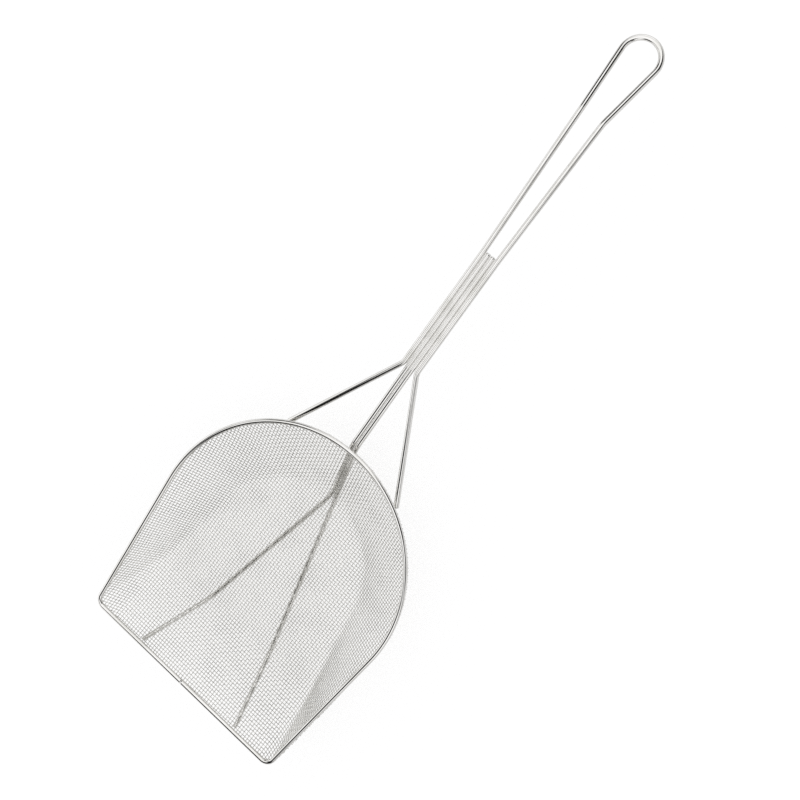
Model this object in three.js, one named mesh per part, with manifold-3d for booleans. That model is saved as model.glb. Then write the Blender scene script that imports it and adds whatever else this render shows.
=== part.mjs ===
// A strainer spoon for skimming crumbs out of a fryer: a shallow shovel of woven
// steel wire cloth, hung in a wire rim and carried by a long welded wire handle.
// Millimetres, +Z up. +Y runs from the front lip towards the hanging loop.
import * as THREE from 'three';
import { mergeGeometries, mergeVertices } from 'three/addons/utils/BufferGeometryUtils.js';
import Module from 'manifold-3d';

// Wires and cloth.
const HANDLE_WIRE = 4.0;
const SUPPORT_WIRE = 3.5;
const RIM_WIRE = 3.5;
const CLOTH_THICKNESS = 1.1;
const SEAT_GAP = 0.3;

// Rim, on the wire's centre line, measured from the front lip.
const FRONT_HALF_WIDTH = 90;
const FRONT_CORNER_RADIUS = 7;
const BACK_RADIUS = 100;
const BACK_CENTRE_Y = 127;
const SEAM_GAP = 0.4;

// Basket: a front ramp, a flat floor with a round back, and sloping walls.
const BOWL_DEPTH = 30;
const RAMP_LENGTH = 51;
const CORNER_WALL_RUN = 3.1;
const FOLD_HALF_WIDTH = 76.5;
const FLOOR_BACK_RADIUS = 63;
const FLOOR_CENTRE_Y = 117;
const CLOTH_BEND = 8;

// Openings through the basket: a coarse grid in place of the fine weave, inside a whole hem.
const MESH_PITCH = 19;
const MESH_BAR = 6.5;
const HEM_BAND = 6;

// Handle: two legs off the rim, a straight stretch, and a loop bent downwards. Its length
// is from the back of the rim to the middle of the loop. It is welded on a little to the
// left of the bowl's middle.
const HANDLE_LENGTH = 326.2;
const HANDLE_OFFSET = -4.2;
const LEG_HALF_SPREAD = 49.8;
const LEG_REACH = 76.6;
const LEG_RISE = THREE.MathUtils.degToRad(8);
const GROUP_LENGTH = 96;
const SHAFT_RISE = THREE.MathUtils.degToRad(5.7);
const SHAFT_END_HALF_GAP = 8.5;
const LOOP_REACH = 44;
const LOOP_RADIUS = 13.15;
const LOOP_DROP = THREE.MathUtils.degToRad(11.1);
const HANDLE_BEND_RADIUS = 12;

// Support wires: side by side on the handle, spread in a V under the floor. The V is
// turned a little to the right.
const RUNNER_YAW = THREE.MathUtils.degToRad(1.2);
const RUNNER_FOLD_HALF_GAP = 31.3;
const RUNNER_FRONT_HALF_GAP = 48.5;
const RUNNER_BEND_RADIUS = 30;

// Facets.
const WIRE_SIDES = 12;
const BEND_STEP = THREE.MathUtils.degToRad(9);
const LOOP_STEPS = 18;
const CORNER_STEPS = 4;
const RAMP_STEPS = 4;
const FOLD_STEPS = 4;
const FLOOR_STEPS = 4;
const BACK_STEPS = 16;
const CREASE_STEPS = 4;
const FLOOR_COLUMNS = 2;
const SAME_POINT = 1e-4;

const wasm = await Module();
wasm.setup();

const bright = new THREE.MeshStandardMaterial({ color: 0xd8d8d4, roughness: 0.22, metalness: 1 });
const woven = new THREE.MeshStandardMaterial({ color: 0xc6c6c1, roughness: 0.38, metalness: 1 });

const flat = (x, y) => new THREE.Vector2(x, y);
const point = (x, y, z) => new THREE.Vector3(x, y, z);
const mirrored = (p) => point(-p.x, p.y, p.z);

// Where a line from a corner on the right touches the outside of a circle on the axis.
function tangentPoint(corner, centreY, radius) {
  const toCentre = flat(-corner.x, centreY - corner.y);
  const reach = toCentre.length();
  const heading = toCentre.angle() - Math.asin(radius / reach);
  const length = Math.sqrt(reach * reach - radius * radius);
  return flat(Math.cos(heading), Math.sin(heading)).multiplyScalar(length).add(corner);
}

// Points along a corner that is rounded to a radius, seen from its two neighbours.
function roundedCorner(before, corner, after, radius) {
  const into = corner.clone().sub(before).normalize();
  const out = after.clone().sub(corner).normalize();
  const turn = into.angleTo(out);
  const run = radius * Math.tan(turn / 2);
  const start = corner.clone().addScaledVector(into, -run);
  const inward = out.clone().addScaledVector(into, -into.dot(out)).normalize();
  const steps = Math.max(2, Math.ceil(turn / BEND_STEP));
  const points = [];
  for (let i = 0; i <= steps; i += 1) {
    const angle = turn * i / steps;
    const along = start.clone().addScaledVector(into, radius * Math.sin(angle));
    points.push(along.addScaledVector(inward, radius * (1 - Math.cos(angle))));
  }
  return points;
}

// A bent wire's centre line, with its section kept level so that flats face up and down.
class BentWire extends THREE.Curve {
  constructor(stations) {
    super();
    this.stations = stations;
  }

  getPoint(t) {
    return this.stations[Math.round(t * (this.stations.length - 1))].clone();
  }

  getSpacedPoints() {
    return this.stations.map((station) => station.clone());
  }

  computeFrenetFrames() {
    const frames = { tangents: [], normals: [], binormals: [] };
    const last = this.stations.length - 1;
    this.stations.forEach((station, i) => {
      const behind = station.clone().sub(this.stations[Math.max(i - 1, 0)]).normalize();
      const ahead = this.stations[Math.min(i + 1, last)].clone().sub(station).normalize();
      const tangent = behind.add(ahead).normalize();
      const normal = point(0, 0, 1).cross(tangent).normalize();
      frames.tangents.push(tangent);
      frames.normals.push(normal);
      frames.binormals.push(tangent.clone().cross(normal));
    });
    return frames;
  }
}

function wireSection(diameter) {
  const radius = diameter / 2 / Math.cos(Math.PI / WIRE_SIDES);
  const corners = [];
  for (let i = 0; i < WIRE_SIDES; i += 1) {
    const angle = (i + 0.5) * 2 * Math.PI / WIRE_SIDES;
    corners.push(flat(radius * Math.cos(angle), radius * Math.sin(angle)));
  }
  return new THREE.Shape(corners);
}

function wireMesh(name, stations, diameter) {
  const geometry = new THREE.ExtrudeGeometry(wireSection(diameter), {
    steps: stations.length - 1,
    extrudePath: new BentWire(stations),
  });
  const mesh = new THREE.Mesh(geometry, bright);
  mesh.name = name;
  return mesh;
}

// Rim outline, right half: front corner, straight side, round back.
const frontCorner = flat(FRONT_HALF_WIDTH, 0);
const sideEnd = tangentPoint(frontCorner, BACK_CENTRE_Y, BACK_RADIUS);
const sideHeading = sideEnd.clone().sub(frontCorner).angle();
const cornerTurn = Math.PI - sideHeading;
const cornerRun = FRONT_CORNER_RADIUS / Math.tan(cornerTurn / 2);
const cornerCentre = flat(FRONT_HALF_WIDTH - cornerRun, FRONT_CORNER_RADIUS);
const backStart = sideHeading - Math.PI / 2;

const outwardAt = (angle) => flat(Math.cos(angle), Math.sin(angle));
const onCorner = (angle) => outwardAt(angle).multiplyScalar(FRONT_CORNER_RADIUS).add(cornerCentre);
const onBack = (angle) => outwardAt(angle).multiplyScalar(BACK_RADIUS).add(flat(0, BACK_CENTRE_Y));
const cornerAngle = (i) => THREE.MathUtils.lerp(-Math.PI / 2, backStart, i / CORNER_STEPS);
const backAngle = (i) => THREE.MathUtils.lerp(backStart, Math.PI / 2, i / BACK_STEPS);

// The rim wire, bent round from one side of the front seam to the other.
function rimStations() {
  const half = [flat(SEAM_GAP / 2, 0)];
  for (let i = 0; i <= CORNER_STEPS; i += 1) {
    half.push(onCorner(cornerAngle(i)));
  }
  for (let i = 0; i <= BACK_STEPS; i += 1) {
    half.push(onBack(backAngle(i)));
  }
  const right = half.map((p) => point(p.x, p.y, 0));
  const left = right.slice(0, -1).reverse().map(mirrored);
  return [...right, ...left];
}

// The cloth passes under the rim wire: the slope of a wall that clears the wire by the
// seat gap and reaches the crease, and how far its middle lies from the wire's.
const hemDistance = RIM_WIRE / 2 + SEAT_GAP + CLOTH_THICKNESS / 2;
const wallSlope = (run, drop) => Math.atan2(drop, run) - Math.asin(hemDistance / Math.hypot(run, drop));
const rampSlope = wallSlope(RAMP_LENGTH, BOWL_DEPTH);

// Height of the ramp and floor, with the fold between them rounded.
function bottomHeight(y) {
  const rise = Math.tan(rampSlope);
  const before = RAMP_LENGTH + CLOTH_BEND - y;
  if (before <= 0) {
    return -BOWL_DEPTH;
  }
  if (before >= 2 * CLOTH_BEND) {
    return -BOWL_DEPTH + (RAMP_LENGTH - y) * rise;
  }
  return -BOWL_DEPTH + rise * before * before / (4 * CLOTH_BEND);
}

// Floor outline, right half: from the wall's foot at the front corner to the fold,
// straight on to the round back.
const sideStart = onCorner(backStart);
const creaseStart = sideStart.clone().addScaledVector(outwardAt(backStart), -CORNER_WALL_RUN);
const foldCorner = flat(FOLD_HALF_WIDTH, RAMP_LENGTH);
const floorSideEnd = tangentPoint(foldCorner, FLOOR_CENTRE_Y, FLOOR_BACK_RADIUS);
const floorBackStart = floorSideEnd.clone().sub(foldCorner).angle() - Math.PI / 2;

function onFloorBack(fraction) {
  const angle = THREE.MathUtils.lerp(floorBackStart, Math.PI / 2, fraction);
  return outwardAt(angle).multiplyScalar(FLOOR_BACK_RADIUS).add(flat(0, FLOOR_CENTRE_Y));
}

function onCrease(y) {
  const below = y < RAMP_LENGTH;
  const from = below ? creaseStart : foldCorner;
  const to = below ? foldCorner : floorSideEnd;
  return flat(THREE.MathUtils.mapLinear(y, from.y, to.y, from.x, to.x), y);
}

// The cloth's edge under the rim, for a wall of this slope.
function hemPoint(rim, outward, slope) {
  const edge = outward.clone().multiplyScalar(hemDistance * Math.sin(slope)).add(rim);
  return point(edge.x, edge.y, -hemDistance * Math.cos(slope));
}

// One row of the cloth: from its hem, down the wall, round the crease and along the
// bottom to the axis.
function clothRow(hem, crease, axisY) {
  const foot = point(crease.x, crease.y, bottomHeight(crease.y));
  const axis = point(0, axisY, bottomHeight(axisY));
  const bend = Math.min(CLOTH_BEND, hem.distanceTo(foot) / 2);
  const bendStart = foot.clone().addScaledVector(hem.clone().sub(foot).normalize(), bend);
  const bendEnd = foot.clone().addScaledVector(axis.clone().sub(foot).normalize(), bend);
  const crook = new THREE.QuadraticBezierCurve3(bendStart, foot, bendEnd);
  const row = [hem, ...crook.getPoints(CREASE_STEPS)];
  for (let i = 1; i <= FLOOR_COLUMNS; i += 1) {
    row.push(bendEnd.clone().lerp(axis, i / FLOOR_COLUMNS));
  }
  return row;
}

// Where the rows lie along the straight side: on the ramp, round the fold, along the floor.
function sideRowHeights() {
  const foldStart = RAMP_LENGTH - CLOTH_BEND;
  const foldEnd = RAMP_LENGTH + CLOTH_BEND;
  const heights = [];
  for (let i = 1; i <= RAMP_STEPS; i += 1) {
    heights.push(THREE.MathUtils.lerp(creaseStart.y, foldStart, i / RAMP_STEPS));
  }
  for (let i = 1; i <= FOLD_STEPS; i += 1) {
    heights.push(THREE.MathUtils.lerp(foldStart, foldEnd, i / FOLD_STEPS));
  }
  for (let i = 1; i <= FLOOR_STEPS; i += 1) {
    heights.push(THREE.MathUtils.lerp(foldEnd, floorSideEnd.y, i / FLOOR_STEPS));
  }
  return heights;
}

// The rows along the front corner, where the wall starts from nothing.
function cornerRows() {
  const endSlope = wallSlope(CORNER_WALL_RUN, -bottomHeight(creaseStart.y));
  const endHem = hemPoint(sideStart, outwardAt(backStart), endSlope);
  const endWall = creaseStart.clone().sub(flat(endHem.x, endHem.y));
  const rows = [];
  for (let i = 0; i <= CORNER_STEPS; i += 1) {
    const share = i / CORNER_STEPS;
    const angle = cornerAngle(i);
    const slope = THREE.MathUtils.lerp(rampSlope, endSlope, share);
    const hem = hemPoint(onCorner(angle), outwardAt(angle), slope);
    const crease = flat(hem.x, hem.y).addScaledVector(endWall, share);
    rows.push(clothRow(hem, crease, crease.y));
  }
  return rows;
}

function wallRow(rim, outward, crease, axisY) {
  const slope = wallSlope(rim.distanceTo(crease), -bottomHeight(crease.y));
  return clothRow(hemPoint(rim, outward, slope), crease, axisY);
}

function clothRows() {
  const rows = cornerRows();
  for (const y of sideRowHeights()) {
    const along = THREE.MathUtils.inverseLerp(creaseStart.y, floorSideEnd.y, y);
    const rim = sideStart.clone().lerp(sideEnd, along);
    rows.push(wallRow(rim, outwardAt(backStart), onCrease(y), y));
  }
  for (let i = 1; i <= BACK_STEPS; i += 1) {
    const rim = onBack(backAngle(i));
    rows.push(wallRow(rim, outwardAt(backAngle(i)), onFloorBack(i / BACK_STEPS), floorSideEnd.y));
  }
  return rows;
}

// A surface that shares its points, with triangles that face up.
class Surface {
  constructor() {
    this.points = [];
    this.triangles = [];
    this.known = new Map();
  }

  index(p) {
    const key = p.toArray().map((value) => Math.round(value / SAME_POINT)).join();
    if (!this.known.has(key)) {
      this.known.set(key, this.points.length);
      this.points.push(p);
    }
    return this.known.get(key);
  }

  addTriangle(points) {
    const corners = points.map((p) => this.index(p));
    if (new Set(corners).size === 3) {
      this.triangles.push(corners);
    }
  }

  addRows(rows, flipped) {
    for (let i = 0; i + 1 < rows.length; i += 1) {
      for (let j = 0; j + 1 < rows[i].length; j += 1) {
        const [a, b, c, d] = [rows[i][j], rows[i + 1][j], rows[i + 1][j + 1], rows[i][j + 1]];
        this.addTriangle(flipped ? [c, b, a] : [a, b, c]);
        this.addTriangle(flipped ? [d, c, a] : [a, c, d]);
      }
    }
  }

  normals() {
    const normals = this.points.map(() => point(0, 0, 0));
    for (const [a, b, c] of this.triangles) {
      const ab = this.points[b].clone().sub(this.points[a]);
      const ac = this.points[c].clone().sub(this.points[a]);
      const facing = ab.cross(ac);
      [a, b, c].forEach((corner) => normals[corner].add(facing));
    }
    return normals.map((normal) => normal.normalize());
  }

  // The closed solid of this thickness whose middle is the surface.
  thickened(thickness) {
    const normals = this.normals();
    const count = this.points.length;
    const positions = [];
    for (const side of [1, -1]) {
      this.points.forEach((p, i) => {
        positions.push(...p.clone().addScaledVector(normals[i], side * thickness / 2).toArray());
      });
    }
    const edges = new Map();
    const faces = [];
    for (const [a, b, c] of this.triangles) {
      faces.push(a, b, c, a + count, c + count, b + count);
      [[a, b], [b, c], [c, a]].forEach(([from, to]) => edges.set(`${from},${to}`, [from, to]));
    }
    for (const [from, to] of edges.values()) {
      if (!edges.has(`${to},${from}`)) {
        faces.push(to, from, from + count, to, from + count, to + count);
      }
    }
    const geometry = new THREE.BufferGeometry();
    geometry.setAttribute('position', new THREE.Float32BufferAttribute(positions, 3));
    geometry.setIndex(faces);
    geometry.computeVertexNormals();
    return geometry;
  }
}

// A closed geometry as a solid that can be cut, and a cut solid as a geometry.
function solidOf(geometry) {
  const bare = geometry.clone();
  bare.deleteAttribute('normal');
  bare.deleteAttribute('uv');
  const merged = mergeVertices(bare, SAME_POINT);
  return new wasm.Manifold(new wasm.Mesh({
    numProp: 3,
    vertProperties: merged.attributes.position.array,
    triVerts: new Uint32Array(merged.index.array),
  }));
}

function geometryOf(solid) {
  const mesh = solid.getMesh();
  const geometry = new THREE.BufferGeometry();
  geometry.setAttribute('position', new THREE.BufferAttribute(mesh.vertProperties, 3));
  geometry.setIndex(new THREE.BufferAttribute(mesh.triVerts, 1));
  geometry.computeVertexNormals();
  return geometry;
}

// The rim's outline, drawn in by the hem, as a block over the whole basket.
function insideHem() {
  const half = [];
  for (let i = 0; i <= CORNER_STEPS; i += 1) {
    half.push(onCorner(cornerAngle(i)).addScaledVector(outwardAt(cornerAngle(i)), -HEM_BAND));
  }
  for (let i = 0; i <= BACK_STEPS; i += 1) {
    half.push(onBack(backAngle(i)).addScaledVector(outwardAt(backAngle(i)), -HEM_BAND));
  }
  const outline = [...half, ...half.slice(0, -1).reverse().map((p) => flat(-p.x, p.y))];
  const block = new THREE.ExtrudeGeometry(new THREE.Shape(outline), {
    depth: 3 * BOWL_DEPTH,
    bevelEnabled: false,
  });
  return block.translate(0, 0, -2 * BOWL_DEPTH);
}

// Whether a spot of the plan lies inside the hem.
function isInsideHem(x, y) {
  const spot = flat(Math.abs(x), y);
  const fromSide = spot.clone().sub(sideStart).dot(outwardAt(backStart));
  const fromCentre = spot.distanceTo(flat(0, BACK_CENTRE_Y));
  return y > HEM_BAND && fromSide < -HEM_BAND && (y < BACK_CENTRE_Y || fromCentre < BACK_RADIUS - HEM_BAND);
}

// A square column through each opening of the grid, with a bar along the basket's middle.
function openingColumns() {
  const side = MESH_PITCH - MESH_BAR;
  const columns = [];
  const across = Math.ceil(BACK_RADIUS / MESH_PITCH);
  const along = Math.ceil((BACK_CENTRE_Y + BACK_RADIUS) / MESH_PITCH);
  for (let i = -across; i < across; i += 1) {
    for (let j = 0; j < along; j += 1) {
      const x = (i + 0.5) * MESH_PITCH;
      const y = HEM_BAND + (j + 0.5) * MESH_PITCH;
      if (isInsideHem(x, y)) {
        columns.push(new THREE.BoxGeometry(side, side, 3 * BOWL_DEPTH).translate(x, y, -BOWL_DEPTH / 2));
      }
    }
  }
  return columns;
}

function clothMesh(name) {
  const rows = clothRows();
  const surface = new Surface();
  surface.addRows(rows, false);
  surface.addRows(rows.map((row) => row.map(mirrored)), true);
  const pressed = solidOf(surface.thickened(CLOTH_THICKNESS));
  const openings = solidOf(mergeGeometries(openingColumns())).intersect(solidOf(insideHem()));
  const mesh = new THREE.Mesh(geometryOf(pressed.subtract(openings)), woven);
  mesh.name = name;
  return mesh;
}

// Where the handle's stretches meet along Y, and where each leg ends under the rim.
const backY = BACK_CENTRE_Y + BACK_RADIUS;
const junctionY = backY + LEG_REACH;
const groupEndY = junctionY + GROUP_LENGTH;
const loopCentreY = backY + HANDLE_LENGTH;
const shaftEndY = loopCentreY - LOOP_REACH;
const legEnd = (side) => onBack(Math.acos((HANDLE_OFFSET + side * LEG_HALF_SPREAD) / BACK_RADIUS));

// Height at which a leg's end clears the cloth's hem by the seat gap.
function legEndHeight(side) {
  const end = legEnd(side);
  const rim = flat(Math.abs(end.x), end.y);
  const angle = Math.acos(rim.x / BACK_RADIUS);
  const foot = onFloorBack(THREE.MathUtils.inverseLerp(backStart, Math.PI / 2, angle));
  const seat = hemDistance + (CLOTH_THICKNESS + HANDLE_WIRE) / 2 + SEAT_GAP;
  return -seat / Math.cos(wallSlope(rim.distanceTo(foot), BOWL_DEPTH));
}

const junctionOverLeg = (side) => legEndHeight(side) + Math.tan(LEG_RISE) * (junctionY - legEnd(side).y);
const junctionHeight = Math.min(junctionOverLeg(1), junctionOverLeg(-1));

function handleHeight(y) {
  const legs = Math.tan(LEG_RISE) * Math.min(y - junctionY, 0);
  const shafts = Math.tan(SHAFT_RISE) * (THREE.MathUtils.clamp(y, junctionY, shaftEndY) - junctionY);
  const loop = Math.tan(LOOP_DROP) * Math.max(y - shaftEndY, 0);
  return junctionHeight + legs + shafts - loop;
}

const onHandle = (x, y) => point(HANDLE_OFFSET + x, y, handleHeight(y));
const pairHalfGap = (SUPPORT_WIRE + SEAT_GAP) / 2;
const groupHalfGap = pairHalfGap + (SUPPORT_WIRE + HANDLE_WIRE) / 2 + SEAT_GAP;
const loopStart = tangentPoint(flat(SHAFT_END_HALF_GAP, shaftEndY), loopCentreY, LOOP_RADIUS);

// One side of the handle, from the leg's end to the loop. Side is 1 on the right, -1 on the left.
function handleSide(side) {
  const leg = onHandle(side * LEG_HALF_SPREAD, legEnd(side).y);
  const junction = onHandle(side * groupHalfGap, junctionY);
  const groupEnd = onHandle(side * groupHalfGap, groupEndY);
  const shaftEnd = onHandle(side * SHAFT_END_HALF_GAP, shaftEndY);
  const loopSide = onHandle(side * loopStart.x, loopStart.y);
  return [
    leg,
    ...roundedCorner(leg, junction, groupEnd, HANDLE_BEND_RADIUS),
    ...roundedCorner(junction, groupEnd, shaftEnd, HANDLE_BEND_RADIUS),
    ...roundedCorner(groupEnd, shaftEnd, loopSide, HANDLE_BEND_RADIUS),
  ];
}

// The handle wire: up from the right leg, round the loop and down to the left leg.
function handleStations() {
  const startAngle = Math.atan2(loopStart.y - loopCentreY, loopStart.x);
  const loop = [];
  for (let i = 0; i <= LOOP_STEPS; i += 1) {
    const angle = THREE.MathUtils.lerp(startAngle, Math.PI - startAngle, i / LOOP_STEPS);
    loop.push(onHandle(LOOP_RADIUS * Math.cos(angle), loopCentreY + LOOP_RADIUS * Math.sin(angle)));
  }
  return [...handleSide(1), ...loop, ...handleSide(-1).reverse()];
}

// A support wire: along the handle between the shafts, under the rim, down the back wall
// outside the cloth, under the floor and up the ramp to the front of the rim.
function supportStations(side) {
  const seat = (CLOTH_THICKNESS + SUPPORT_WIRE) / 2 + SEAT_GAP;
  const floorEndY = FLOOR_CENTRE_Y + FLOOR_BACK_RADIUS;
  const backSlope = wallSlope(backY - floorEndY, BOWL_DEPTH);
  const floorHeight = -BOWL_DEPTH - seat;
  const heelY = floorEndY + seat * Math.tan(backSlope / 2);
  const foldY = RAMP_LENGTH - seat * Math.tan(rampSlope / 2);
  const onRunner = (halfGap, y, z) => point(side * halfGap + Math.tan(RUNNER_YAW) * (heelY - y), y, z);
  const heel = onRunner(pairHalfGap, heelY, floorHeight);
  const fold = onRunner(RUNNER_FOLD_HALF_GAP, foldY, floorHeight);
  const front = onRunner(RUNNER_FRONT_HALF_GAP, 0, floorHeight + foldY * Math.tan(rampSlope));
  const top = onHandle(side * pairHalfGap, groupEndY);
  const junction = onHandle(side * pairHalfGap, junctionY);
  const riseToHandle = handleHeight(heelY) - floorHeight;
  const rimBendY = heelY + riseToHandle / (Math.tan(backSlope) - Math.tan(LEG_RISE));
  const rimBend = onHandle(side * pairHalfGap, rimBendY);
  return [
    top,
    ...roundedCorner(top, junction, rimBend, RUNNER_BEND_RADIUS),
    ...roundedCorner(junction, rimBend, heel, RUNNER_BEND_RADIUS),
    ...roundedCorner(rimBend, heel, fold, RUNNER_BEND_RADIUS),
    ...roundedCorner(heel, fold, front, RUNNER_BEND_RADIUS),
    front,
  ];
}

const spoon = new THREE.Group();
spoon.add(wireMesh('rim_wire', rimStations(), RIM_WIRE));
spoon.add(clothMesh('mesh_basket'));
spoon.add(wireMesh('handle_wire', handleStations(), HANDLE_WIRE));
spoon.add(wireMesh('support_wire_right', supportStations(1), SUPPORT_WIRE));
spoon.add(wireMesh('support_wire_left', supportStations(-1), SUPPORT_WIRE));

// The origin is the middle of the footprint, on the surface that the support wires rest on.
const footprint = new THREE.Box3().setFromObject(spoon);
const middle = footprint.getCenter(point(0, 0, 0));
spoon.position.set(-middle.x, -middle.y, -footprint.min.z);

export default spoon;
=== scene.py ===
import math

import bmesh
import bpy
from mathutils import Matrix, Vector
from mathutils.bvhtree import BVHTree


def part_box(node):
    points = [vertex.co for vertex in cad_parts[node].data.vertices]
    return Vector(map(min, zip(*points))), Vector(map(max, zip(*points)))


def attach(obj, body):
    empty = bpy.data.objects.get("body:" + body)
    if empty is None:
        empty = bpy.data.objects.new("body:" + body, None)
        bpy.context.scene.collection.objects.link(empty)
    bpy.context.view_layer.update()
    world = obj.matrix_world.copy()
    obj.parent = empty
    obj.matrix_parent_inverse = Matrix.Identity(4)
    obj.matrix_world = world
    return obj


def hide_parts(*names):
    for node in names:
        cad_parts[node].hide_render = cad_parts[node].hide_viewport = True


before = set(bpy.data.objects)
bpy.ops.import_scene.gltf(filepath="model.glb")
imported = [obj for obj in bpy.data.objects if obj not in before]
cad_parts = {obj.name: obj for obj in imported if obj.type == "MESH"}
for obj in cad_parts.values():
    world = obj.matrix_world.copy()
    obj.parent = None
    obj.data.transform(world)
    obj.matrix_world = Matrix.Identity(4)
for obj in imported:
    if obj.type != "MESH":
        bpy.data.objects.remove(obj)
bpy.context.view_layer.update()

mm = 0.001


# Rim: one drawn stainless wire, bent in the flat to the mouth of a shovel, with its two ends
# butted in the middle of the front edge. It lies level, and the other pieces are measured in
# millimetres from the middle of its front lip.
RIM_WIRE = 3.5
FRONT_HALF_WIDTH = 90
FRONT_CORNER = 7
BACK_RADIUS = 100
BACK_CENTRE = 127
SEAM_HALF_GAP = 0.2
RIM_EDGE = 0.15
BACK_POINTS = 72
WIRE_SIDES = 24
BEND_STEP = math.radians(4)
STRAIGHT_RUN = 6
RING_INSET = 0.25
rim_low, rim_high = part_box("rim_wire")
lip = Vector((0, rim_low.y + RIM_WIRE / 2 * mm, (rim_low.z + rim_high.z) / 2))


def from_lip(x, y, z=0.0):
    return lip + Vector((x, y, z)) * mm


def touching(corner_x, corner_y, centre_y, radius):
    """The angle at which a line from a corner on the right touches a round on the middle line."""
    reach = Vector((-corner_x, centre_y - corner_y))
    return math.atan2(reach.y, reach.x) - math.asin(radius / reach.length) - math.pi / 2


def bent(corners):
    """Centre line of a wire bent at these corners, each a point and its bend radius."""
    line = [corners[0][0]]
    for (before, _), (corner, radius), (after, _) in zip(corners, corners[1:], corners[2:]):
        into = (corner - before).normalized()
        out = (after - corner).normalized()
        turn = into.angle(out)
        if radius == 0 or turn < 1e-4:
            line.append(corner)
            continue
        start = corner - into * radius * mm * math.tan(turn / 2)
        inward = (out - into * into.dot(out)).normalized()
        steps = max(2, math.ceil(turn / BEND_STEP))
        for i in range(steps + 1):
            angle = turn * i / steps
            along, aside = math.sin(angle), 1 - math.cos(angle)
            line.append(start + (into * along + inward * aside) * radius * mm)
    line.append(corners[-1][0])
    return line


class Shade:
    """A socket of a node tree that takes part in Python sums."""

    def __init__(self, tree, socket=None):
        self.tree = tree
        self.socket = socket

    def node(self, kind, settings=None, values=None, out=0):
        made = self.tree.nodes.new(kind)
        for name, setting in (settings or {}).items():
            setattr(made, name, setting)
        for name, value in (values or {}).items():
            if isinstance(value, Shade):
                self.tree.links.new(value.socket, made.inputs[name])
            else:
                made.inputs[name].default_value = value
        return Shade(self.tree, made.outputs[out] if made.outputs else None)

    def sum(self, operation, first, second):
        return self.node("ShaderNodeMath", {"operation": operation}, {0: first, 1: second})

    def __add__(self, other):
        return self.sum("ADD", self, other)

    def __radd__(self, other):
        return self.sum("ADD", other, self)

    def __sub__(self, other):
        return self.sum("SUBTRACT", self, other)

    def __rsub__(self, other):
        return self.sum("SUBTRACT", other, self)

    def __mul__(self, other):
        return self.sum("MULTIPLY", self, other)

    def __rmul__(self, other):
        return self.sum("MULTIPLY", other, self)

    def eased(self, low, high):
        return self.node("ShaderNodeMapRange", {"interpolation_type": "SMOOTHSTEP"},
                         {"Value": self, "From Min": low, "From Max": high})


def bright_steel(name, clean, dull, polish, line_gap):
    """Drawn stainless wire: fine lines along the wire, and a soft cloudiness from handling."""
    material = bpy.data.materials.new(name)
    material.use_nodes = True
    surface = material.node_tree.nodes["Principled BSDF"]
    surface.inputs["Metallic"].default_value = 1.0
    steel = Shade(material.node_tree)
    unbent = steel.node("ShaderNodeAttribute", {"attribute_name": "unbent"}, out="Vector")
    stretched = steel.node("ShaderNodeMapping", None,
                           {"Vector": unbent, "Scale": Vector((1, 1, 0.02)) / (line_gap * mm)})
    lines = steel.node("ShaderNodeTexNoise", None,
                       {"Vector": stretched, "Scale": 1.0, "Detail": 3.0}, out="Fac")
    place = steel.node("ShaderNodeTexCoord", None, None, out="Object")
    clouds = steel.node("ShaderNodeTexNoise", None,
                        {"Vector": place, "Scale": 45.0, "Detail": 4.0}, out="Fac")
    wear = clouds.eased(0.42, 0.7)
    colour = steel.node("ShaderNodeMix", {"data_type": "RGBA"}, {"Factor": wear, 6: clean, 7: dull}, out=2)
    roughness = polish + 0.06 * lines + 0.05 * wear
    bump = steel.node("ShaderNodeBump", None,
                      {"Strength": 0.1, "Distance": 0.01 * mm, "Height": lines}, out="Normal")
    for value, socket in ((colour, "Base Color"), (roughness, "Roughness"), (bump, "Normal")):
        material.node_tree.links.new(value.socket, surface.inputs[socket])
    return material


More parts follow.
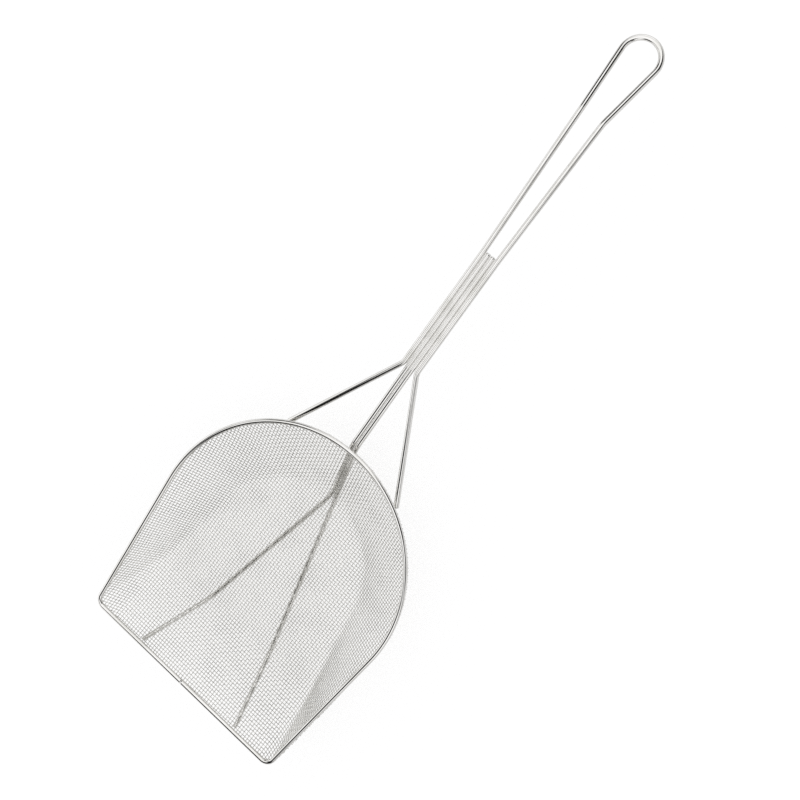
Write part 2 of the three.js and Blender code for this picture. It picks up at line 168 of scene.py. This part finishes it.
def drawn_wire_tree():
    """Sweeps a round section along bare edges, and keeps each point's place on the unbent wire."""
    tree = bpy.data.node_groups.new("drawn wire", "GeometryNodeTree")
    tree.interface.new_socket("Geometry", in_out="INPUT", socket_type="NodeSocketGeometry")
    tree.interface.new_socket("Diameter", in_out="INPUT", socket_type="NodeSocketFloat")
    tree.interface.new_socket("Sides", in_out="INPUT", socket_type="NodeSocketInt")
    tree.interface.new_socket("Steel", in_out="INPUT", socket_type="NodeSocketMaterial")
    tree.interface.new_socket("Geometry", in_out="OUTPUT", socket_type="NodeSocketGeometry")
    wire = Shade(tree)
    given = tree.nodes.new("NodeGroupInput")
    path, diameter, sides, metal = (Shade(tree, given.outputs[i]) for i in range(4))
    rail = wire.node("GeometryNodeMeshToCurve", None, {"Mesh": path})
    run = wire.node("GeometryNodeSplineParameter", out="Length")
    rail = wire.node("GeometryNodeStoreNamedAttribute", {"data_type": "FLOAT", "domain": "POINT"},
                     {"Geometry": rail, "Name": "run", "Value": run})
    section = wire.node("GeometryNodeCurvePrimitiveCircle", None,
                        {"Resolution": sides, "Radius": diameter * 0.5})
    spot = wire.node("GeometryNodeInputPosition")
    section = wire.node("GeometryNodeStoreNamedAttribute", {"data_type": "FLOAT_VECTOR", "domain": "POINT"},
                        {"Geometry": section, "Name": "section", "Value": spot})
    cut = wire.node("GeometryNodeInputNamedAttribute", {"data_type": "FLOAT"}, {"Name": "cut"})
    swept = wire.node("GeometryNodeCurveToMesh", None,
                      {"Curve": rail, "Profile Curve": section, "Scale": cut, "Fill Caps": True})
    across = wire.node("GeometryNodeInputNamedAttribute", {"data_type": "FLOAT_VECTOR"}, {"Name": "section"})
    along = wire.node("GeometryNodeInputNamedAttribute", {"data_type": "FLOAT"}, {"Name": "run"})
    lengthways = wire.node("ShaderNodeCombineXYZ", None, {"Z": along})
    unbent = wire.node("ShaderNodeVectorMath", {"operation": "ADD"}, {0: across, 1: lengthways})
    swept = wire.node("GeometryNodeStoreNamedAttribute", {"data_type": "FLOAT_VECTOR", "domain": "POINT"},
                      {"Geometry": swept, "Name": "unbent", "Value": unbent})
    swept = wire.node("GeometryNodeSetShadeSmooth", None, {"Geometry": swept})
    swept = wire.node("GeometryNodeRealizeInstances", None, {"Geometry": swept})
    swept = wire.node("GeometryNodeSetMaterial", None, {"Geometry": swept, "Material": metal})
    result = tree.nodes.new("NodeGroupOutput")
    tree.links.new(swept.socket, result.inputs[0])
    return tree


drawn_wire = drawn_wire_tree()


def wire_piece(name, lines, diameter, sides, metal, chamfer=0.0):
    """One mesh of the wires that follow these centre lines, with their cut edges eased and a ring
    near each end of a straight run, which keeps the run's sheen straight."""
    spots, edges, cuts = [], [], []
    for line in lines:
        ends = [line[0] + (line[1] - line[0]).normalized() * chamfer * mm,
                line[-1] + (line[-2] - line[-1]).normalized() * chamfer * mm]
        corners = [line[0], ends[0], *line[1:-1], ends[1], line[-1]] if chamfer else line
        stretch = corners[:1]
        for here, there in zip(corners, corners[1:]):
            if (there - here).length > STRAIGHT_RUN * diameter * mm:
                ring = (there - here).normalized() * RING_INSET * diameter * mm
                stretch += [here + ring, there - ring]
            stretch.append(there)
        first = len(spots)
        spots += stretch
        edges += [(first + i, first + i + 1) for i in range(len(stretch) - 1)]
        trim = 1 - 2 * chamfer / diameter
        cuts += [trim] + [1.0] * (len(stretch) - 2) + [trim]
    path = bpy.data.meshes.new(name)
    path.from_pydata(spots, edges, [])
    path.attributes.new("cut", "FLOAT", "POINT").data.foreach_set("value", cuts)
    piece = bpy.data.objects.new(name, path)
    bpy.context.collection.objects.link(piece)
    sweep = piece.modifiers.new("sweep", "NODES")
    sweep.node_group = drawn_wire
    for item in drawn_wire.interface.items_tree:
        if item.in_out == "INPUT" and item.name in ("Diameter", "Sides", "Steel"):
            sweep[item.identifier] = {"Diameter": diameter * mm, "Sides": sides, "Steel": metal}[item.name]
    made = bpy.data.meshes.new_from_object(piece.evaluated_get(bpy.context.evaluated_depsgraph_get()))
    piece.modifiers.remove(sweep)
    piece.data = made
    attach(piece, "root")
    return piece


frame_steel = bright_steel("bright drawn steel", clean=(0.86, 0.85, 0.83, 1), dull=(0.78, 0.77, 0.74, 1),
                           polish=0.03, line_gap=0.5)
side_angle = touching(FRONT_HALF_WIDTH, 0, BACK_CENTRE, BACK_RADIUS)
rim_corners = [(from_lip(SEAM_HALF_GAP, 0), 0), (from_lip(FRONT_HALF_WIDTH, 0), FRONT_CORNER)]
for i in range(BACK_POINTS + 1):
    angle = side_angle + (math.pi - 2 * side_angle) * i / BACK_POINTS
    back = from_lip(BACK_RADIUS * math.cos(angle), BACK_CENTRE + BACK_RADIUS * math.sin(angle))
    rim_corners.append((back, 0))
rim_corners += [(from_lip(-FRONT_HALF_WIDTH, 0), FRONT_CORNER), (from_lip(-SEAM_HALF_GAP, 0), 0)]
rim = wire_piece("rim", [bent(rim_corners)], RIM_WIRE, WIRE_SIDES, frame_steel, RIM_EDGE)
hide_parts("rim_wire")


# Basket: plain-woven steel wire cloth, cut to a blank and pressed to a ramp, a flat floor and
# sloping walls. Its wires don't stretch, so each crossing keeps its distance from the ones
# before it, and the weave leans over on the walls. The hem is welded under the rim.
CLOTH_WIRE = 0.55
LENGTHWISE_GAP = 2.42
CROSSWISE_GAP = 2.28
CLOTH_SIDES = 6
BOWL_DEPTH = 30
RAMP_LENGTH = 51
FOLD_HALF_WIDTH = 76.5
FLOOR_BACK_RADIUS = 63
FLOOR_CENTRE = 117
CORNER_WALL_RUN = 3.1
CLOTH_BEND = 8
CREASE_BEND = 2.5
SUPPORTED_HALF_WIDTH = 10
EASED_HALF_WIDTH = 30
HEM_BELOW = 2.3
HEM_SPARE = 5
CROOK_POINTS = 8
BOTTOM_POINTS = 4
CORNER_ROWS = 8
SIDE_ROWS = 48
BACK_ROWS = 48


def wall_slope(run, drop, below=HEM_BELOW):
    """Slope of a wall that passes this far below the rim's middle and ends at the crease."""
    return math.atan2(drop, run) - math.asin(below / math.hypot(run, drop))


ramp_slope = wall_slope(RAMP_LENGTH, BOWL_DEPTH)
side_out = Vector((math.cos(side_angle), math.sin(side_angle)))
corner_run = FRONT_CORNER * math.tan(math.pi / 4 + side_angle / 2)
corner_middle = Vector((FRONT_HALF_WIDTH - corner_run, FRONT_CORNER))
side_start = corner_middle + side_out * FRONT_CORNER
side_end = Vector((0, BACK_CENTRE)) + side_out * BACK_RADIUS
crease_start = side_start - side_out * CORNER_WALL_RUN
fold = Vector((FOLD_HALF_WIDTH, RAMP_LENGTH))
floor_middle = Vector((0, FLOOR_CENTRE))
floor_angle = touching(FOLD_HALF_WIDTH, RAMP_LENGTH, FLOOR_CENTRE, FLOOR_BACK_RADIUS)
floor_end = Vector((math.cos(floor_angle), math.sin(floor_angle))) * FLOOR_BACK_RADIUS + floor_middle


def bottom_height(y):
    """Height of the ramp and the floor, with the fold between them rounded."""
    before = RAMP_LENGTH + CLOTH_BEND - y
    if before >= 2 * CLOTH_BEND:
        return -BOWL_DEPTH + (RAMP_LENGTH - y) * math.tan(ramp_slope)
    return -BOWL_DEPTH + math.tan(ramp_slope) * max(before, 0) ** 2 / (4 * CLOTH_BEND)


def hem_spot(rim_spot, outward, slope):
    edge = rim_spot + outward * HEM_BELOW * math.sin(slope)
    return Vector((edge.x, edge.y, -HEM_BELOW * math.cos(slope)))


def pressed_row(hem, crease, axis_y):
    """From beyond the hem, down the wall, round the crease and along the bottom to the middle. The
    crease is sharp, and eased only where the support wires cross it."""
    foot = Vector((crease.x, crease.y, bottom_height(crease.y)))
    axis = Vector((0, axis_y, bottom_height(axis_y)))
    up_wall = (hem - foot).normalized()
    eased = (EASED_HALF_WIDTH - abs(crease.x)) / (EASED_HALF_WIDTH - SUPPORTED_HALF_WIDTH)
    bend = CREASE_BEND + (CLOTH_BEND - CREASE_BEND) * max(0, min(1, eased))
    bend = min(bend, (hem - foot).length / 2)
    top, end = foot + up_wall * bend, foot + (axis - foot).normalized() * bend
    row = [hem + up_wall * HEM_SPARE, hem]
    for share in (i / CROOK_POINTS for i in range(CROOK_POINTS + 1)):
        row.append(top.lerp(foot, share).lerp(foot.lerp(end, share), share))
    return row + [end.lerp(axis, i / BOTTOM_POINTS) for i in range(1, BOTTOM_POINTS + 1)]


def wall_row(rim_spot, outward, crease, axis_y):
    slope = wall_slope((rim_spot - crease).length, -bottom_height(crease.y))
    return pressed_row(hem_spot(rim_spot, outward, slope), crease, axis_y)


end_slope = wall_slope(CORNER_WALL_RUN, -bottom_height(crease_start.y))
end_wall = crease_start - hem_spot(side_start, side_out, end_slope).to_2d()
pressed = []
for share in (i / CORNER_ROWS for i in range(CORNER_ROWS + 1)):
    angle = -math.pi / 2 + (side_angle + math.pi / 2) * share
    outward = Vector((math.cos(angle), math.sin(angle)))
    slope = ramp_slope + (end_slope - ramp_slope) * share
    hem = hem_spot(corner_middle + outward * FRONT_CORNER, outward, slope)
    crease = hem.to_2d() + end_wall * share
    pressed.append(pressed_row(hem, crease, crease.y))
spare = Vector((0, -math.cos(ramp_slope), math.sin(ramp_slope))) * HEM_SPARE
pressed.insert(0, [spot + spare for spot in pressed[0]])
for share in (i / SIDE_ROWS for i in range(1, SIDE_ROWS + 1)):
    y = crease_start.y + (floor_end.y - crease_start.y) * share
    low, high = (crease_start, fold) if y < RAMP_LENGTH else (fold, floor_end)
    crease = low.lerp(high, (y - low.y) / (high.y - low.y))
    pressed.append(wall_row(side_start.lerp(side_end, share), side_out, crease, y))
for share in (i / BACK_ROWS for i in range(1, BACK_ROWS + 1)):
    angle = side_angle + (math.pi / 2 - side_angle) * share
    foot_angle = floor_angle + (math.pi / 2 - floor_angle) * share
    outward = Vector((math.cos(angle), math.sin(angle)))
    crease = Vector((math.cos(foot_angle), math.sin(foot_angle))) * FLOOR_BACK_RADIUS + floor_middle
    pressed.append(wall_row(outward * BACK_RADIUS + Vector((0, BACK_CENTRE)), outward, crease, floor_end.y))
form_spots, form_faces, beyond_hem = [], [], set()
for side in (1, -1):
    first, width = len(form_spots), len(pressed[0])
    form_spots += [from_lip(side * spot.x, spot.y, spot.z) for row in pressed for spot in row]
    for k in range(len(pressed) - 1):
        for c in range(width - 1):
            if k == 0 or c == 0:
                beyond_hem.add(len(form_faces))
            corner = first + k * width + c
            form_faces.append((corner, corner + 1, corner + 1 + width, corner + width))
form = BVHTree.FromPolygons(form_spots, form_faces)
above_rim = rim_high.z + 50 * mm


def cloth_at(x, y):
    """The middle of the pressed cloth over this spot, which way it faces, and if it lies inside the hem."""
    spot, facing, face, _ = form.ray_cast(Vector((x, y, above_rim)), Vector((0, 0, -1)))
    if spot is None:
        return None
    return spot, facing if facing.z > 0 else -facing, face not in beyond_hem


WEAVE_START = from_lip(0, 110)
WEAVE_TURN = math.radians(1.5)
RAMP_SKEW = math.radians(4.5)
RAMP_END = from_lip(0, RAMP_LENGTH).y
CRIMP_FLAT = 0.2
WIRES_EACH_WAY = 70
REACH_ROUNDS = 4
SETTLING_ROUNDS = 8
CUT_ROUNDS = 12


def laid_wire(start, heading, gap, turn=0.0):
    """Crossings along one wire laid straight over the cloth from its middle, to the hem."""
    spot, facing, _ = cloth_at(start.x, start.y)
    ahead = Vector((math.cos(heading), math.sin(heading), 0))
    crossings = [spot]
    while len(crossings) < WIRES_EACH_WAY:
        ahead = (ahead - facing * ahead.dot(facing)).normalized()
        if turn and crossings[-1].y < RAMP_END:
            ahead = Matrix.Rotation(turn, 3, facing) @ ahead
            turn = 0.0
        reach = crossings[-1] + ahead * gap * mm
        for _ in range(REACH_ROUNDS):
            found = cloth_at(reach.x, reach.y)
            if found is None:
                return crossings
            reach = crossings[-1] + (found[0] - crossings[-1]).normalized() * gap * mm
        ahead = reach - crossings[-1]
        facing = found[1]
        crossings.append(reach)
    return crossings


def next_crossing(beside, beside_gap, behind, behind_gap, corner):
    """The spot on the cloth at these distances from the crossings beside and behind it."""
    spot = beside + behind - corner
    for _ in range(SETTLING_ROUNDS):
        found = cloth_at(spot.x, spot.y)
        if found is None:
            return None
        spot, facing, _ = found
        slope_x, slope_y = -facing.x / facing.z, -facing.y / facing.z
        a, b = spot - beside, spot - behind
        miss = Vector((a.length_squared - (beside_gap * mm) ** 2, b.length_squared - (behind_gap * mm) ** 2))
        push = Matrix(((2 * (a.x + a.z * slope_x), 2 * (a.y + a.z * slope_y)),
                       (2 * (b.x + b.z * slope_x), 2 * (b.y + b.z * slope_y))))
        if abs(push.determinant()) < 1e-12:
            return None
        step = push.inverted() @ miss
        spot = Vector((spot.x - step.x, spot.y - step.y, spot.z))
    found = cloth_at(spot.x, spot.y)
    return found and found[0]


crossings = {}
for sense in (1, -1):
    lengthwise = laid_wire(WEAVE_START, WEAVE_TURN + sense * math.pi / 2, CROSSWISE_GAP,
                           RAMP_SKEW if sense < 0 else 0.0)
    crosswise = laid_wire(WEAVE_START, WEAVE_TURN + (0 if sense > 0 else math.pi), LENGTHWISE_GAP)
    crossings.update({(0, sense * j): spot for j, spot in enumerate(lengthwise)})
    crossings.update({(sense * i, 0): spot for i, spot in enumerate(crosswise)})
for right in (1, -1):
    for back in (1, -1):
        for j in range(1, WIRES_EACH_WAY + 1):
            for i in range(1, WIRES_EACH_WAY + 1):
                beside = crossings.get((right * (i - 1), back * j))
                behind = crossings.get((right * i, back * (j - 1)))
                corner = crossings.get((right * (i - 1), back * (j - 1)))
                if None in (beside, behind, corner):
                    continue
                spot = next_crossing(beside, LENGTHWISE_GAP, behind, CROSSWISE_GAP, corner)
                if spot is not None:
                    crossings[right * i, back * j] = spot


def cloth_facing(key):
    i, j = key
    spot = crossings[key]
    across = crossings.get((i + 1, j), spot) - crossings.get((i - 1, j), spot)
    along = crossings.get((i, j + 1), spot) - crossings.get((i, j - 1), spot)
    return across.cross(along).normalized()


def hem_end(inner, outer):
    """Where between these two spots a wire that runs off the cloth is cut at the hem, as a share."""
    kept, lost = 0.0, 1.0
    for _ in range(CUT_ROUNDS):
        middle = (kept + lost) / 2
        spot = inner.lerp(outer, middle)
        found = cloth_at(spot.x, spot.y)
        if found and found[2]:
            kept = middle
        else:
            lost = middle
    return kept


def woven_line(keys, over):
    """One wire of the weave, cut at the hem: it dips under and over the wires that it crosses."""
    inside = [k for k, key in enumerate(keys) if cloth_at(crossings[key].x, crossings[key].y)[2]]
    if len(inside) < 2:
        return None
    spots = [crossings[key] for key in keys]
    spots = [2 * spots[0] - spots[1], *spots, 2 * spots[-1] - spots[-2]]
    lifts = [cloth_facing(key) * CLOTH_WIRE / 2 * mm * (over if sum(key) % 2 == 0 else -over) for key in keys]
    lifts = [-lifts[0], *lifts, -lifts[-1]]
    first, last = inside[0] + 1, inside[-1] + 1

    def between(k, toward, share):
        level = max(0, min(1, (share - CRIMP_FLAT) / (1 - 2 * CRIMP_FLAT)))
        return spots[k].lerp(spots[toward], share) + lifts[k].lerp(lifts[toward], level)

    line = []
    for k in range(first, last + 1):
        room = hem_end(spots[k], spots[k - 1]) if k == first else 1.0
        if k == first and room > CRIMP_FLAT:
            line.append(between(k, k - 1, room))
        line.append(between(k, k - 1, min(room, CRIMP_FLAT)))
        room = hem_end(spots[k], spots[k + 1]) if k == last else 1.0
        line.append(between(k, k + 1, min(room, CRIMP_FLAT)))
        if k == last and room > CRIMP_FLAT:
            line.append(between(k, k + 1, room))
    return line


def woven_group(axis, wanted, over):
    """The lines of every lengthwise (0) or crosswise (1) wire on the wanted side of the middle."""
    lines = []
    for n in sorted({key[axis] for key in crossings if wanted(key[axis])}):
        keys = sorted(key for key in crossings if key[axis] == n)
        lines.append(woven_line(keys, over) if len(keys) > 2 else None)
    return [line for line in lines if line]


cloth_steel = bright_steel("woven cloth steel", clean=(0.78, 0.77, 0.735, 1), dull=(0.66, 0.65, 0.615, 1),
                           polish=0.14, line_gap=0.2)
cloth_groups = {
    "cloth_lengthwise_left": woven_group(0, lambda n: n < 0, 1),
    "cloth_lengthwise_right": woven_group(0, lambda n: n >= 0, 1),
    "cloth_crosswise_front": woven_group(1, lambda n: n < 0, -1),
    "cloth_crosswise_back": woven_group(1, lambda n: n >= 0, -1),
}
for name, lines in cloth_groups.items():
    cloth = wire_piece(name, lines, CLOTH_WIRE, CLOTH_SIDES, cloth_steel)
    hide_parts("mesh_basket")


# Handle: one heavier wire, up from a leg under the rim, along the support wires, round the
# hanging loop, which is bent downwards, and back to the other leg. It is welded on a little to
# the left of the bowl's middle. Its length is from the rim's back to the middle of the loop.
HANDLE_WIRE = 4.0
SUPPORT_WIRE = 3.5
WELD_GAP = 0.3
WIRE_EDGE = 0.2
HANDLE_BEND = 12
HANDLE_LENGTH = 326.2
HANDLE_OFFSET = -4.2
LEG_HALF_SPREAD = 49.8
LEG_REACH = 76.6
LEG_RISE = math.radians(8)
JUNCTION_HEIGHT = 5.996
GROUP_LENGTH = 96
SHAFT_RISE = math.radians(5.7)
SHAFT_END_HALF_GAP = 8.5
LOOP_REACH = 44
LOOP_RADIUS = 13.15
LOOP_DROP = math.radians(11.1)
LOOP_POINTS = 48
rim_back = BACK_CENTRE + BACK_RADIUS
junction = rim_back + LEG_REACH
group_end = junction + GROUP_LENGTH
loop_middle = rim_back + HANDLE_LENGTH
shaft_end = loop_middle - LOOP_REACH
pair_half_gap = (SUPPORT_WIRE + WELD_GAP) / 2
group_half_gap = pair_half_gap + (SUPPORT_WIRE + HANDLE_WIRE) / 2 + WELD_GAP


def handle_height(y):
    legs = min(y - junction, 0) * math.tan(LEG_RISE)
    shafts = (min(max(y, junction), shaft_end) - junction) * math.tan(SHAFT_RISE)
    loop = max(y - shaft_end, 0) * math.tan(LOOP_DROP)
    return JUNCTION_HEIGHT + legs + shafts - loop


def on_handle(x, y):
    return from_lip(HANDLE_OFFSET + x, y, handle_height(y))


def handle_side(side):
    """Corners of the handle's right (1) or left (-1) side, from the leg's end to the loop."""
    leg_x = side * LEG_HALF_SPREAD
    leg_end = BACK_CENTRE + math.sqrt(BACK_RADIUS ** 2 - (HANDLE_OFFSET + leg_x) ** 2)
    group_x = side * group_half_gap
    shaft_x = side * SHAFT_END_HALF_GAP
    corners = (leg_x, leg_end), (group_x, junction), (group_x, group_end), (shaft_x, shaft_end)
    return [(on_handle(x, y), HANDLE_BEND) for x, y in corners]


loop_start = touching(SHAFT_END_HALF_GAP, shaft_end, loop_middle, LOOP_RADIUS)
loop_corners = []
for i in range(LOOP_POINTS + 1):
    angle = loop_start + (math.pi - 2 * loop_start) * i / LOOP_POINTS
    spot = on_handle(LOOP_RADIUS * math.cos(angle), loop_middle + LOOP_RADIUS * math.sin(angle))
    loop_corners.append((spot, 0))
handle_line = bent(handle_side(1) + loop_corners + handle_side(-1)[::-1])
handle = wire_piece("handle", [handle_line], HANDLE_WIRE, WIRE_SIDES, frame_steel, WIRE_EDGE)
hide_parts("handle_wire")


# Support wires: two thinner wires laid side by side on the handle, spot-welded to it and to the
# rim, and bent to follow the back wall, the floor and the ramp, where they spread in a V. The V is
# turned a little to the right, and the wires clear the cloth by the gap of a weld.
SUPPORT_BEND = 30
V_TURN = math.radians(1.2)
V_FOLD_HALF_GAP = 31.3
V_FRONT_HALF_GAP = 48.5
support_seat = CLOTH_WIRE + SUPPORT_WIRE / 2 + WELD_GAP
floor_back = FLOOR_CENTRE + FLOOR_BACK_RADIUS
back_slope = wall_slope(rim_back - floor_back, BOWL_DEPTH, HEM_BELOW + WELD_GAP)
front_slope = wall_slope(RAMP_LENGTH, BOWL_DEPTH, HEM_BELOW + WELD_GAP)
support_height = -BOWL_DEPTH - support_seat
support_heel = floor_back + support_seat * math.tan(back_slope / 2)
support_fold = RAMP_LENGTH - support_seat * math.tan(front_slope / 2)
front_height = support_height + support_fold * math.tan(front_slope)
heel_to_handle = handle_height(support_heel) - support_height
rim_bend = support_heel + heel_to_handle / (math.tan(back_slope) - math.tan(LEG_RISE))


def on_v(x, y, z):
    return from_lip(x + math.tan(V_TURN) * (support_heel - y), y, z)


for name, side in (("support_right", 1), ("support_left", -1)):
    pair_x = side * pair_half_gap
    corners = [on_handle(pair_x, y) for y in (group_end, junction, rim_bend)]
    corners.append(on_v(pair_x, support_heel, support_height))
    corners.append(on_v(side * V_FOLD_HALF_GAP, support_fold, support_height))
    corners.append(on_v(side * V_FRONT_HALF_GAP, 0, front_height))
    line = bent([(corner, SUPPORT_BEND) for corner in corners])
    support = wire_piece(name, [line], SUPPORT_WIRE, WIRE_SIDES, frame_steel, WIRE_EDGE)
    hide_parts(name.replace("support_", "support_wire_"))


# Studio: a white table under a dark dome that carries soft boxes overhead, at the back, at the front
# and at both sides. The bright wires show the boxes as white lines and the dome as dark ones.
# The dome is near, so a box lies in another direction from the bowl than from the loop.
FLOOR_SIZE = 4.0
FLOOR_SEEN = 0.62
FLOOR_MIRRORED = 0.36
DOME_RADIUS = 1.06
DOME_SKIRT = 0.01
DOME_DARK = 0.01
LOW_WALL_LIGHT = 0.62
LOW_WALL_FULL = 0.08
LOW_WALL_END = 0.35
BRIGHTEST = 1.3
ROOM_LIGHT = 0.5
floor_mesh = bpy.data.meshes.new("floor")
floor_sheet = bmesh.new()
bmesh.ops.create_grid(floor_sheet, x_segments=8, y_segments=8, size=FLOOR_SIZE)
floor_sheet.to_mesh(floor_mesh)
floor_sheet.free()
floor = bpy.data.objects.new("floor", floor_mesh)
bpy.context.collection.objects.link(floor)
table_white = bpy.data.materials.new("table white")
table_white.use_nodes = True
table_white.node_tree.nodes.clear()
table = Shade(table_white.node_tree)
camera_ray = table.node("ShaderNodeLightPath", out="Is Camera Ray")
mirror_ray = table.node("ShaderNodeLightPath", out="Is Glossy Ray")
lit = table.node("ShaderNodeBsdfDiffuse", None, {"Color": (0.8, 0.8, 0.8, 1)})
glow = table.node("ShaderNodeEmission", None,
                  {"Color": (1, 1, 1, 1), "Strength": FLOOR_SEEN * camera_ray + FLOOR_MIRRORED * mirror_ray})
both = table.node("ShaderNodeAddShader", None, {0: lit, 1: glow})
table.node("ShaderNodeOutputMaterial", None, {"Surface": both})
floor_mesh.materials.append(table_white)

dome_mesh = bpy.data.meshes.new("dome")
dome_sheet = bmesh.new()
bmesh.ops.create_uvsphere(dome_sheet, u_segments=96, v_segments=48, radius=DOME_RADIUS)
below = [spot for spot in dome_sheet.verts if spot.co.z < -DOME_SKIRT]
bmesh.ops.delete(dome_sheet, geom=below, context="VERTS")
dome_sheet.to_mesh(dome_mesh)
dome_sheet.free()
dome = bpy.data.objects.new("dome", dome_mesh)
bpy.context.collection.objects.link(dome)
dome_boxes = bpy.data.materials.new("dome with soft boxes")
dome_boxes.use_nodes = True
dome_boxes.node_tree.nodes.clear()
tent = Shade(dome_boxes.node_tree)
spot = tent.node("ShaderNodeTexCoord", None, None, out="Object")
toward = tent.node("ShaderNodeVectorMath", {"operation": "NORMALIZE"}, {0: spot}, out="Vector")


def soft_box(middle, core, edge, power):
    """Light from a soft box: its full power within core degrees of its middle, and none beyond edge."""
    facing = tent.node("ShaderNodeVectorMath", {"operation": "DOT_PRODUCT"},
                       {0: toward, 1: Vector(middle).normalized()}, out="Value")
    return power * facing.eased(math.cos(math.radians(edge)), math.cos(math.radians(core)))


overhead = soft_box((-0.19, 0.04, 0.98), core=30, edge=35, power=1.14)
at_back = soft_box((-0.28, 0.84, 0.47), core=21, edge=30, power=0.91)
near_camera = soft_box((0.01, 0.65, 0.76), core=7, edge=12, power=0.79)
right_front = soft_box((0.64, -0.43, 0.64), core=9, edge=28, power=1.21)
right_low = soft_box((0.89, 0.27, 0.37), core=13, edge=22, power=0.60)
left_front = soft_box((-0.67, -0.71, 0.21), core=20, edge=37, power=1.04)
left_low = soft_box((-0.94, -0.11, 0.33), core=16, edge=26, power=0.81)
height = tent.node("ShaderNodeSeparateXYZ", None, {"Vector": toward}, out="Z")
low_wall = LOW_WALL_LIGHT * (1 - height.eased(LOW_WALL_FULL, LOW_WALL_END))
boxes = overhead + at_back + near_camera + right_front + right_low + left_front + left_low
boxes = tent.sum("MINIMUM", DOME_DARK + low_wall + boxes, BRIGHTEST)
mirror_ray = tent.node("ShaderNodeLightPath", out="Is Glossy Ray")
clear = tent.node("ShaderNodeBsdfTransparent")
shining = tent.node("ShaderNodeEmission", None, {"Color": boxes, "Strength": 1.0})
seen = tent.node("ShaderNodeMixShader", None, {0: mirror_ray, 1: clear, 2: shining})
tent.node("ShaderNodeOutputMaterial", None, {"Surface": seen})
dome_mesh.materials.append(dome_boxes)

room = bpy.data.worlds.new("studio")
room.use_nodes = True
room.node_tree.nodes.clear()
bpy.context.scene.world = room
sky = Shade(room.node_tree)
camera_ray = sky.node("ShaderNodeLightPath", out="Is Camera Ray")
backdrop = sky.node("ShaderNodeBackground", None,
                    {"Color": (1, 1, 1, 1), "Strength": ROOM_LIGHT + (1 - ROOM_LIGHT) * camera_ray})
sky.node("ShaderNodeOutputWorld", None, {"Surface": backdrop})


# Camera: above the handle's right side, looking down at the bowl. The cloth's wires are thinner
# than a pixel, and a denoiser would wipe the weave away, so none is used.
camera = bpy.data.cameras.new("camera")
camera.sensor_width = 36
camera.lens = 60.75
camera_stand = bpy.data.objects.new("camera", camera)
camera_stand.location = (0.18676, 0.26912, 0.90179)
camera_stand.rotation_euler = [math.radians(a) for a in (-6.2647, 19.8617, 38.0619)]
bpy.context.collection.objects.link(camera_stand)
bpy.context.scene.camera = camera_stand
bpy.context.scene.view_settings.view_transform = "Standard"
bpy.context.scene.cycles.use_denoising = False
